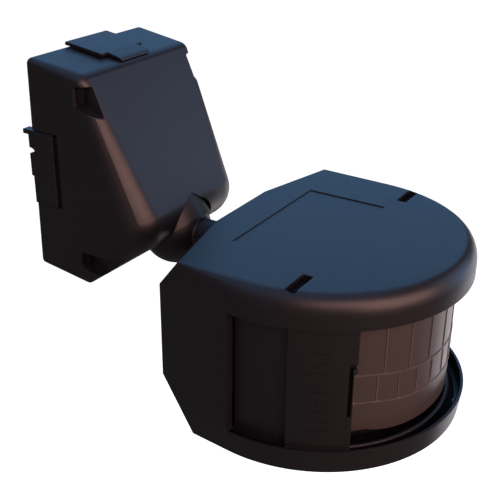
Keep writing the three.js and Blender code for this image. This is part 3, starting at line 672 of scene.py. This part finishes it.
def swivel_cup():
    start = math.asin(CUP_RIM / CUP_INNER)
    end = math.acos(CUP_BORE / CUP_INNER)
    steps = 24
    profile = []
    for i in range(steps + 1):
        angle = start + (end - start) * i / steps
        profile.append((CUP_INNER * math.cos(angle), CUP_INNER * math.sin(angle)))
    profile += [(CUP_BORE, CUP_STUD_TOP), (CUP_STUD, CUP_STUD_TOP), (CUP_STUD, CUP_TOP)]
    profile += [(CUP_OUTER - 0.8, CUP_TOP), (CUP_OUTER, CUP_TOP - 0.8)]
    profile += [(CUP_OUTER, CUP_RIM + 0.15), (CUP_OUTER - 0.15, CUP_RIM)]
    cup = turned(profile, SWIVEL_FRAME, 128)
    return piece(cup, "socket_cup", "swivel", CASE, ["swivel_cup"])


def ball_and_neck():
    """Hollow ball with a neck that carries the leads into the head, turned about the neck."""
    fillet = 0.8
    meet = math.sqrt((BALL_RADIUS + fillet) ** 2 - (NECK_RADIUS + fillet) ** 2)
    last = math.asin((NECK_RADIUS + fillet) / (BALL_RADIUS + fillet))
    profile = []
    for i in range(49):
        angle = math.pi - (math.pi - last) * i / 48
        profile.append((BALL_RADIUS * math.sin(angle), BALL_RADIUS * math.cos(angle)))
    for i in range(1, 7):
        angle = last + (math.pi / 2 - last) * i / 6
        profile.append((NECK_RADIUS + fillet - fillet * math.sin(angle),
                        meet - fillet * math.cos(angle)))
    reach = BALL.y - NECK_END_Y
    collar = [BALL.y + 62, BALL.y + 63.7]
    profile += [
        (NECK_RADIUS, collar[0]), (7.9, collar[0]), (8.2, collar[0] + 0.3), (8.2, collar[1]),
        (NECK_RADIUS, collar[1]), (NECK_RADIUS, reach - 0.3), (NECK_RADIUS - 0.3, reach),
        (NECK_BORE, reach), (NECK_BORE, 8.0), (0, 8.0),
    ]
    turn = Matrix.Translation(BALL) @ Matrix.Rotation(math.pi / 2, 4, "X")
    ball = turned(profile, turn, 128)
    cut(ball, swivel_rod(NECK_BORE, -3, BALL_RADIUS + 1))
    return piece(ball, "ball_neck", "head", CASE, ["ball_and_neck"])


# ---- Head -------------------------------------------------------------------------------

def head_hull(arc_inset, body_inset, top, bottom, rows, step):
    """The head's convex outside, or the same shape moved inwards to make its hollow."""
    points = []
    fillet = HOOD_FILLET - arc_inset * 0.5
    steps = round(2 * ARC_END / step)
    angles = [-ARC_END + 2 * ARC_END * i / steps for i in range(steps + 1)]
    for row in range(rows + 1):
        lean = math.pi / 2 * row / rows
        reach = fillet * (1 - math.sin(lean))
        z = top - HOOD_DROP * (1 - math.cos(lean))
        points += [(*arc_point(HOOD_RADIUS - arc_inset - reach, a), z) for a in angles]
        corner = HEAD_SIDE - body_inset - reach * CORNER_FILLET_SHARE
        points += [(side * corner, TOP_CORNER_Y - body_inset, z) for _, side in SIDES]
    taper = (TRAY_TOP - bottom) / (TRAY_TOP - HEAD_BOTTOM)
    if bottom < TRAY_TOP:
        points += [(*arc_point(TRAY_RADIUS, a), TRAY_TOP) for a in angles]
    foot_radius = TRAY_RADIUS + (TRAY_FOOT_RADIUS - TRAY_RADIUS) * taper - arc_inset
    points += [(*arc_point(foot_radius, a), bottom) for a in angles]
    fall = (CHAMFER_TOP - bottom) / (CHAMFER_TOP - HEAD_BOTTOM)
    foot = REAR_CORNER_Y + (CHAMFER_FOOT_Y - REAR_CORNER_Y) * fall
    corner = HEAD_SIDE - body_inset
    for _, side in SIDES:
        points += [
            (side * REAR_SHOULDER_X, HEAD_REAR - body_inset, top),
            (side * REAR_SHOULDER_X, HEAD_REAR - body_inset, CHAMFER_TOP),
            (side * corner, REAR_CORNER_Y - body_inset, REAR_CORNER_TOP),
            (side * corner, REAR_CORNER_Y - body_inset, CHAMFER_TOP),
            (side * corner, foot - body_inset * 1.2, bottom),
        ]
    return hull(points)


def under_plan(clearance):
    """Outline of the recess under the head, less a clearance."""
    steps = 84
    outline = [
        arc_point(UNDER_RADIUS - clearance, -ARC_END + 2 * ARC_END * i / steps)
        for i in range(steps + 1)
    ]
    outline.append((UNDER_HALF_X - clearance, UNDER_REAR_Y - clearance))
    outline.append((-UNDER_HALF_X + clearance, UNDER_REAR_Y - clearance))
    return outline


def head_shell():
    shell = head_hull(0, 0, HOOD_TOP, HEAD_BOTTOM, 8, 2.5)
    ceiling = HOOD_TOP - HOOD_THICKNESS
    cut(
        shell,
        head_hull(HOOD_RADIUS - HOOD_INNER_RADIUS, WALL, ceiling, TRAY_TOP, 4, 5),
        plan_prism(under_plan(0), UNDER_STEP, TRAY_TOP + 0.01),
        plan_prism(under_plan(UNDER_STEP_WIDTH), HEAD_BOTTOM - 2, UNDER_STEP + 0.01),
    )
    added = []
    for _, side in SIDES:
        x = side * POST_X
        added.append(rod(POST_RADIUS, (x, POST_Y, UNDER_STEP), (x, POST_Y, -12.6), 40))
        added.append(curved_wall(JAMB_INNER, UNDER_RADIUS, *between(side, 95, JAMB_TO),
                                 TRAY_TOP - GAP, HOOD_EDGE + 2))
    joined(shell, *added)
    cutters = [
        curved_wall(30, 60, -WINDOW_HALF_ANGLE, WINDOW_HALF_ANGLE, TRAY_TOP, HOOD_EDGE),
        rod(NECK_RADIUS + GAP, (0, HEAD_REAR - 4, BALL.z), (0, HEAD_REAR + 3, BALL.z)),
    ]
    for _, side in SIDES:
        x = side * SLOT_X
        cutters.append(rod(1.7, (side * POST_X, POST_Y, -65), (side * POST_X, POST_Y, -51)))
        cutters.append(block(x - SLOT_LENGTH / 2, x + SLOT_LENGTH / 2, SLOT_Y - SLOT_WIDTH / 2,
                             SLOT_Y + SLOT_WIDTH / 2, HOOD_TOP - 5, HOOD_TOP + 1))
    cut(shell, *cutters)
    soften(shell, 0.3)
    cut(shell, block(-23.6, 23.6, -104.3, -77.7, HOOD_TOP - 0.3, HOOD_TOP + 1))
    return piece(shell, "head_shell", "head", CASE, ["head_housing"])


def base_plate():
    """Closing plate under the head with dial openings, their scales and the shutter rib.

    A dark matte sheet over the plate's upper face paints shade on the floor of the groove under the
    lens.
    """
    low, high = PLATE_LOW, PLATE_HIGH
    plate = plan_prism(under_plan(UNDER_STEP_WIDTH + 0.06), low, high)
    holes = [rod(DIAL_HOLE_RADIUS, (x, DIAL_Y, low - 1), (x, DIAL_Y, TRAY_TOP), 64)
             for _, x in DIALS]
    for _, side in SIDES:
        x = side * POST_X
        holes.append(rod(1.7, (x, POST_Y, low - 1), (x, POST_Y, TRAY_TOP), 32))
        holes.append(rod(3.2, (x, POST_Y, low - 1), (x, POST_Y, low + 0.9), 48))
    cut(plate, *holes)
    soften(plate, 0.2)
    marks = []
    for _, x in DIALS:
        centre = Matrix.Translation((x, DIAL_Y, 0))
        for step in range(-4, 5):
            tick = block(-0.25, 0.25, 5.9, 6.7 + 0.5 * (step % 4 == 0), low - 0.18, low + 0.3)
            marks.append(moved(tick, centre @ Matrix.Rotation(math.radians(33.75 * step), 4, "Z")))
    joined(plate, *marks)
    piece(plate, "base_plate", "head", CASE, ["head_base"])
    # Painted shade: a dark matte sheet on the plate's top darkens the groove floor between the tray
    # rim and the shutter rib.
    groove_shade_sheet = plan_prism(under_plan(UNDER_STEP_WIDTH + 0.1), high + 0.02, high + 0.2)
    cut(groove_shade_sheet, *[rod(DIAL_HOLE_RADIUS + 0.2, (x, DIAL_Y, low), (x, DIAL_Y, TRAY_TOP), 48)
                for _, x in DIALS])
    piece(groove_shade_sheet, "base_groove_shade", "head", INNER_PLASTIC_AND_SHADE)
    rib = curved_wall(RIB_INNER, RIB_OUTER, -RIB_HALF_ANGLE, RIB_HALF_ANGLE, high, RIB_TOP)
    soften(rib, 0.75, 4)
    return piece(rib, "shutter_rib", "head", CASE)


def lens_panel():
    """Smoked lens shell whose face is divided into facets by fine raised lines."""
    rows = (-38.5, -47.5)  # heights of the level lines
    upper = [12 * i for i in range(-6, 7)]  # angles of the upright lines, by row
    lower = [9.8 * (i + 0.05) for i in range(-7, 8)]
    half_line, foot, height = 0.16, 0.28, 0.16  # a line's half-width, reach and height

    def stations(centres, plain, scale):
        found = set(plain)
        for centre in centres:
            reach = foot / scale
            found = {p for p in found if abs(p - centre) > reach * 1.5}
            found |= {centre - reach, centre - half_line / scale,
                      centre + half_line / scale, centre + reach}
        return sorted(found)

    to_mm = math.radians(1) * LENS_RADIUS
    plain = [LENS_HALF_ANGLE * (i / 60 - 1) for i in range(121)]
    angles = [a for a in stations(upper + lower, plain, to_mm) if abs(a) <= LENS_HALF_ANGLE]
    low, high = LENS_LOW.z, LENS_HIGH.z
    heights = stations(rows, [low, low + 0.3, -51, -43, -30, -22, high], 1)

    def lifted(angle, z):
        """Bows the rows and the lower edge: low ahead and higher towards the lens's ends."""
        share = min(1, max(0, (abs(angle) - 14) / 28))
        if z >= -25:
            return z
        if z > -51:
            return z - 0.9 + 1.9 * share ** 1.5
        return z - 0.8 + 1.9 * share ** 3

    def line(distance):
        return height * min(1, max(0, (foot - distance) / (foot - half_line)))

    def radius(angle, z):
        edge = 0.3 if z <= low else 0
        found = max(line(abs(z - row)) for row in rows)
        columns = upper if z > rows[0] else lower if z > rows[1] else []
        for column in columns:
            found = max(found, line(abs(angle - column) * to_mm))
        return LENS_RADIUS - height + found - edge

    bm = bmesh.new()
    outer = [
        [bm.verts.new((*arc_point(radius(a, z), a), lifted(a, z))) for z in heights]
        for a in angles
    ]
    inner = [
        [bm.verts.new((*arc_point(LENS_INNER, a), lifted(a, z))) for z in heights]
        for a in angles
    ]
    for i in range(len(angles) - 1):
        for k in range(len(heights) - 1):
            bm.faces.new((outer[i][k], outer[i + 1][k], outer[i + 1][k + 1], outer[i][k + 1]))
            bm.faces.new((inner[i][k], inner[i][k + 1], inner[i + 1][k + 1], inner[i + 1][k]))
        for k in (0, -1):
            bm.faces.new((outer[i][k], inner[i][k], inner[i + 1][k], outer[i + 1][k]))
    for i in (0, -1):
        for k in range(len(heights) - 1):
            bm.faces.new((outer[i][k], outer[i][k + 1], inner[i][k + 1], inner[i][k]))
    panel = linked("lens", bm)
    piece(panel, "lens_panel", "head", LENS_SMOKE, ["lens"], 50)

    lines = bmesh.new()
    reach = half_line / to_mm
    for row, columns in ((0, upper), (1, lower)):
        top, foot_z = (high - 0.1, rows[0]) if row == 0 else (rows[0], rows[1])
        for column in columns:
            if abs(column) > LENS_HALF_ANGLE - 1:
                continue
            strip = [lines.verts.new((*arc_point(LENS_RADIUS + 0.02, a), lifted(column, z)))
                     for a, z in ((column - reach, top), (column + reach, top),
                                  (column + reach, foot_z), (column - reach, foot_z))]
            lines.faces.new(strip)
    for z in rows:
        for a, b in zip(plain, plain[1:]):
            strip = [lines.verts.new((*arc_point(LENS_RADIUS + 0.02, angle), lifted(angle, z) + up))
                     for angle, up in ((a, half_line), (b, half_line),
                                       (b, -half_line), (a, -half_line))]
            lines.faces.new(strip)
    ridges = linked("ridges", lines)
    thick = ridges.modifiers.new("thick", "SOLIDIFY")
    thick.thickness = 0.08
    thick.offset = 0
    applied(ridges)
    return piece(ridges, "lens_lines", "head", LENS_LINE)


def carrier_ring():
    """Ring behind the lens, with cheeks at its ends, hooks and fine upright ribs."""
    ring = curved_wall(CARRIER_INNER, CARRIER_OUTER, -CARRIER_END, CARRIER_END, -58, -13.6)
    cut(ring, curved_wall(30, 50, -70, 70, -52, -18))
    added = []
    for _, side in SIDES:
        x = side * SLOT_X
        added.append(block(x - 4.9, x + 4.9, SLOT_Y - 1.4, SLOT_Y + 1.4, -17, -12.4))
    for i in range(-33, 34):
        added.append(curved_wall(CARRIER_OUTER - 0.3, CARRIER_OUTER + 0.25,
                                 2 * i, 2 * i + 0.7, -58, -55.2, 0.7))
    joined(ring, *added)
    soften(ring, 0.15)
    piece(ring, "carrier_ring", "head", INNER_PLASTIC_AND_SHADE, ["lens_carrier"])
    for hand, side in SIDES:
        cheek = curved_wall(CARRIER_OUTER, CHEEK_OUTER, *between(side, CHEEK_FROM, CHEEK_TO),
                            -61, -17)
        joined(cheek, curved_wall(CHEEK_OUTER - 1.1, CHEEK_OUTER, *between(side, 71, 75), -61, -17))
        soften(cheek, 0.15)
        piece(cheek, f"{hand}_cheek", "head", CASE)


def shutter(hand, side):
    """Sliding shutter with a stepped foot, a finger slot, a short reach above it and plain bars."""
    low, high = SHUTTER_LOW.z, SHUTTER_HIGH.z
    angles = between(side, SHUTTER_FROM, SHUTTER_TO)
    panel = curved_wall(SHUTTER_INNER, SHUTTER_OUTER, *angles, low, high, 1)
    joined(panel, curved_wall(SHUTTER_INNER, SHUTTER_FOOT, *angles, low, SHUTTER_STEP, 1))
    joined(panel, curved_wall(SHUTTER_INNER, SHUTTER_OUTER,
                              *between(side, EXTENSION_FROM, EXTENSION_TO), EXTENSION_LOW, high, 0.8))
    cut(panel,
        curved_wall(40, 50, *between(side, 50.3, 51.7), FINGER_SLOT_LOW, FINGER_SLOT_HIGH, 0.5),
        curved_wall(40, 50, *between(side, 48, 50.6), EXTENSION_CUT_LOW, FINGER_SLOT_HIGH, 0.5))
    soften(panel, 0.18)
    bars = []
    for row in range(BAR_ROWS):
        z = BAR_LOW + BAR_PITCH * row
        bars.append(curved_wall(SHUTTER_OUTER - 0.3, SHUTTER_OUTER + 0.32,
                                *between(side, BAR_FROM, BAR_ENDS[row % 2]), z, z + BAR_HEIGHT, 1))
    joined(panel, *bars)
    # Dark matte sheets behind the finger slot and the cut below the reach: painted shade inside them.
    slot_shade_sheet = curved_wall(SHUTTER_INNER - 0.1, SHUTTER_INNER + 0.15, *between(side, 50.2, 51.8),
                        -48.5, -31.5, 0.5)
    joined(slot_shade_sheet, curved_wall(SHUTTER_INNER - 0.1, SHUTTER_INNER + 0.15,
                              *between(side, 48.7, 50.3), -33.4, -31.4, 0.5))
    piece(slot_shade_sheet, f"{hand}_slot_painted_shade", f"{hand}_shutter", INNER_PLASTIC_AND_SHADE)
    name = f"{hand}_shutter_panel"
    return piece(panel, name, f"{hand}_shutter", CASE, [f"{hand}_shutter"])


def dial_knob(label, x):
    """Setting dial with a knurled rim and an arrow-shaped driver slot."""
    outline = []
    for i in range(120):
        angle = 2 * math.pi * i / 120
        radius = DIAL_RADIUS if i % 4 < 2 else DIAL_KNURL_RADIUS
        outline.append((x + radius * math.cos(angle), DIAL_Y + radius * math.sin(angle)))
    knob = plan_prism(outline, DIAL_LOW, DIAL_HIGH)
    arrow = [(-0.6, -3.6), (0.6, -3.6), (0.6, 1.6), (1.8, 1.6), (0, 3.8), (-1.8, 1.6), (-0.6, 1.6)]
    slot = [(x + u, DIAL_Y + v) for u, v in arrow]
    cut(knob, plan_prism(slot, DIAL_LOW - 1, DIAL_LOW + 1.4))
    soften(knob, 0.12)
    return piece(knob, f"{label}_knob", f"{label}_dial", NYLON, [f"{label}_dial"])


def base_screw(hand, side):
    """Pan-head screw with a cross recess."""
    x = side * POST_X
    low = PLATE_LOW - 0.4
    profile = [(0, low), (1.8, low), (2.5, low + 0.25), (2.8, low + 0.8), (2.8, low + 1.2),
               (1.4, low + 1.2), (1.4, -54.4), (0, -54.4)]
    screw = turned(profile, Matrix.Translation((x, POST_Y, 0)), 48)
    cut(screw,
        block(x - 1.5, x + 1.5, POST_Y - 0.3, POST_Y + 0.3, low - 1, low + 0.8),
        block(x - 0.3, x + 0.3, POST_Y - 1.5, POST_Y + 1.5, low - 1, low + 0.8))
    return piece(screw, f"{hand}_base_screw", "head", STEEL, [f"base_screw_{hand}"])


bracket_cover()
wall_plate()
grommet()
latch_clip()
swivel_cup()
ball_and_neck()
head_shell()
base_plate()
lens_panel()
carrier_ring()
for hand, side in SIDES:
    entry_panel(hand, side)
    shutter(hand, side)
    base_screw(hand, side)
for label, x in DIALS:
    dial_knob(label, x)


# ---- CAD nodes that stay ----------------------------------------------------------------

for row in frame["record"]["subparts"]:
    if row["node"] in frame["nodes"]:
        mesh = frame["nodes"][row["node"]].data
        mesh.materials.clear()
        mesh.materials.append(CAD_LOOKS[row["material_slot"]])


# ---- Stage, light and camera ------------------------------------------------------------

def floor():
    bm = bmesh.new()
    bmesh.ops.create_grid(bm, x_segments=8, y_segments=8, size=4)
    obj = linked("floor", bm)
    obj.location.z = -0.6
    material, tree, shader = principled("floor_paper")
    place = tree.nodes.new("ShaderNodeTexCoord")
    fibre = noise(tree, place, 400)
    tree.links.new(
        ramp(tree, fibre.outputs["Fac"], 0.88, 0.9), shader.inputs["Base Color"]
    )
    shader.inputs["Emission Color"].default_value = (1, 1, 1, 1)
    shader.inputs["Emission Strength"].default_value = 0.95
    obj.data.materials.append(material)
    obj.visible_diffuse = False
    obj.visible_glossy = False
    obj.visible_transmission = False
    obj.visible_shadow = False


def world():
    made = bpy.data.worlds.new("studio")
    made.use_nodes = True
    tree = made.node_tree
    room = tree.nodes["Background"]
    room.inputs["Color"].default_value = (0.82, 0.74, 0.82, 1)
    room.inputs["Strength"].default_value = 0.135
    paper = tree.nodes.new("ShaderNodeBackground")
    paper.inputs["Color"].default_value = (1, 1, 1, 1)
    paper.inputs["Strength"].default_value = 1.0
    path = tree.nodes.new("ShaderNodeLightPath")
    mix = tree.nodes.new("ShaderNodeMixShader")
    tree.links.new(path.outputs["Is Camera Ray"], mix.inputs[0])
    tree.links.new(room.outputs[0], mix.inputs[1])
    tree.links.new(paper.outputs[0], mix.inputs[2])
    tree.links.new(mix.outputs[0], tree.nodes["World Output"].inputs["Surface"])
    bpy.context.scene.world = made


def softbox(name, direction, distance, size, colour, power):
    """Area light that looks at the object's middle from a direction."""
    low, high = cad_bounds
    middle = (low + high) / 2
    data = bpy.data.lights.new(name, "AREA")
    data.shape = "RECTANGLE"
    data.size, data.size_y = size
    data.color = colour
    data.energy = power
    obj = bpy.data.objects.new(name, data)
    bpy.context.scene.collection.objects.link(obj)
    out = Vector(direction).normalized()
    obj.location = middle + out * distance
    obj.rotation_euler = out.to_track_quat("Z", "Y").to_euler()
    return obj


CAMERA_PLACE = (-0.22462, -0.20758, 0.10106)
CAMERA_HEADING = 58.363  # degrees from +Y towards +X
CAMERA_DOWN = 25.583
CAMERA_ROLL = 0.581
CAMERA_LENS = 65.98


def camera():
    data = bpy.data.cameras.new("camera")
    data.sensor_width = 36.0
    data.lens = CAMERA_LENS
    data.clip_start = 0.01
    obj = bpy.data.objects.new("camera", data)
    bpy.context.scene.collection.objects.link(obj)
    turn = (Matrix.Rotation(math.radians(-CAMERA_HEADING), 4, "Z")
            @ Matrix.Rotation(math.radians(90 - CAMERA_DOWN), 4, "X")
            @ Matrix.Rotation(math.radians(CAMERA_ROLL), 4, "Z"))
    obj.matrix_world = Matrix.Translation(CAMERA_PLACE) @ turn
    bpy.context.scene.camera = obj


floor()
world()
WARM = (1.0, 0.56, 0.5)
softbox("sky", (0.77, 0.47, 0.55), 0.9, (1.0, 1.0), (0.14, 0.46, 0.92), 3.0)
softbox("overhead", (-0.1, 0.2, 1.0), 0.8, (1.5, 1.5), (0.22, 0.42, 0.85), 5.2)
softbox("front", (0.77, -0.66, 0.12), 0.9, (0.5, 0.7), (0.3, 0.5, 0.84), 1.85)
softbox("warm", (-0.12, -0.96, 0.22), 0.7, (0.62, 0.36), WARM, 3.1)
softbox("warm_high", (-0.6, -0.65, 0.5), 0.7, (0.6, 0.34), WARM, 2.1)
softbox("glow", (0.9, -0.22, -0.43), 0.8, (0.6, 0.6), (1.0, 0.96, 1.0), 1.5)
camera()
bpy.context.scene.view_settings.view_transform = "Standard"
